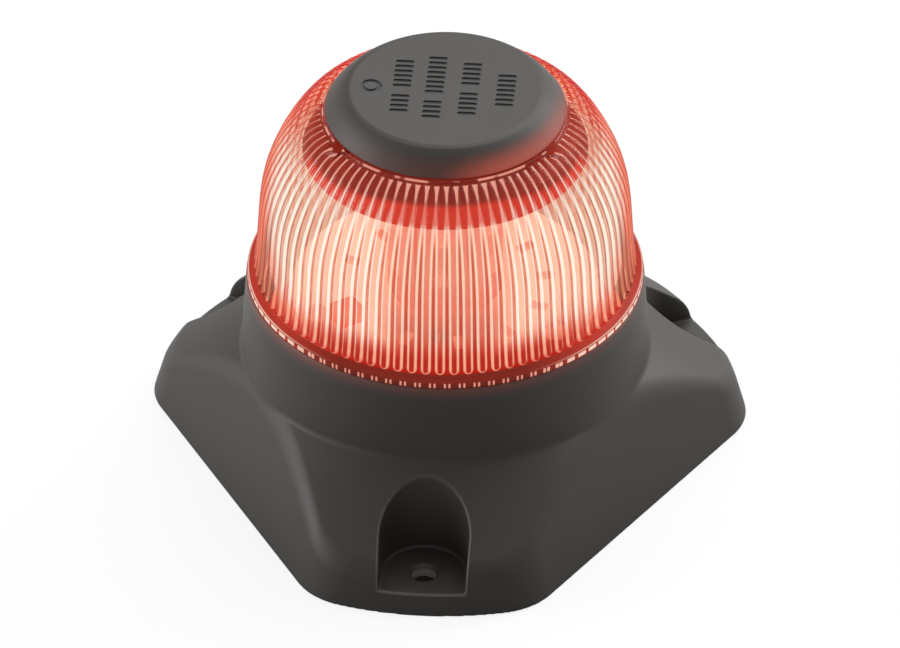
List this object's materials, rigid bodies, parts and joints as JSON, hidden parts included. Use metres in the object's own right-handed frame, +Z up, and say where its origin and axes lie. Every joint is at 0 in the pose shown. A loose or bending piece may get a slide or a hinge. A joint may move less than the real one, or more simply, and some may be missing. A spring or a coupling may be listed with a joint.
{
  "type": "all-round marine light",
  "caption": "Round ribbed lens dome with a bevelled cap on a black flared base with flat sides and open-fronted screw pockets; the lens head twists to unlock.",
  "frame": {"origin": "centre of the underside, on the lens axis", "axes": "+Z up along the lens axis, -Y towards one screw pocket, taken as the front; +X to the right seen from the front"},
  "size_m": [0.1096, 0.1001, 0.0782],
  "materials": {
    "housing_plastic": "fine moulded texture, black",
    "cap_plastic": "fine moulded texture, black",
    "lens_plastic": "moulded transparent red, vertical ribs",
    "shade_plastic": "dark red moulded",
    "seal_rubber": "black",
    "grommet_rubber": "black",
    "cable_sheath": "black, smooth",
    "core_red": "red insulation",
    "core_black": "black insulation",
    "screw_steel": "stainless",
    "brass": "plain",
    "board_green": "green solder mask",
    "board_white": "white solder mask",
    "aluminium": "machined",
    "terminal_green": "green moulded",
    "can_aluminium": "sleeved can",
    "ferrite": "ferrite",
    "copper": "enamelled copper",
    "chip_black": "epoxy",
    "pad_grey": "thermal pad",
    "led_white": "LED package",
    "led_dome": "silicone dome, red light",
    "reflector_white": "white moulded",
    "vent_black": "membrane plug",
    "connector_cream": "cream moulded",
    "tinned": "tinned copper"
  },
  "bodies": {
    "base": {"base_housing": "housing_plastic", "bottom_plate": "housing_plastic", "cover_seal": "seal_rubber", "cover_screws": "screw_steel", "cable_grommet": "grommet_rubber", "supply_cable": "cable_sheath", "core_red": "core_red", "core_black": "core_black", "breather_plug": "vent_black", "driver_board": "board_green", "board_standoffs": "brass", "board_screws": "screw_steel", "terminal_block": "terminal_green", "terminal_screws": "screw_steel", "smoothing_capacitors": "can_aluminium", "driver_choke": "ferrite", "choke_winding": "copper", "driver_chip": "chip_black", "input_fuse": "connector_cream", "heat_sink": "aluminium", "heat_sink_screws": "screw_steel", "led_board": "board_white", "led_board_screws": "screw_steel", "board_resistors": "chip_black", "link_connector": "connector_cream", "board_leads": "tinned", "thermal_pads": "pad_grey", "led_strips": "board_white", "led_packages": "led_white", "led_domes": "led_dome", "column_reflector": "reflector_white", "reflector_screw": "screw_steel"},
    "lens_head": {"lens": "lens_plastic", "lens_seal": "seal_rubber", "cap": "cap_plastic", "cap_seal": "seal_rubber", "crown_shade": "shade_plastic", "cap_screws": "screw_steel"}
  },
  "joints": [
    {"name": "lens_twist", "type": "hinge", "parent": "base", "child": "lens_head", "pos_m": [0, 0, 0.037], "axis": [0, 0, 1], "range_deg": [0, 20]}
  ]
}
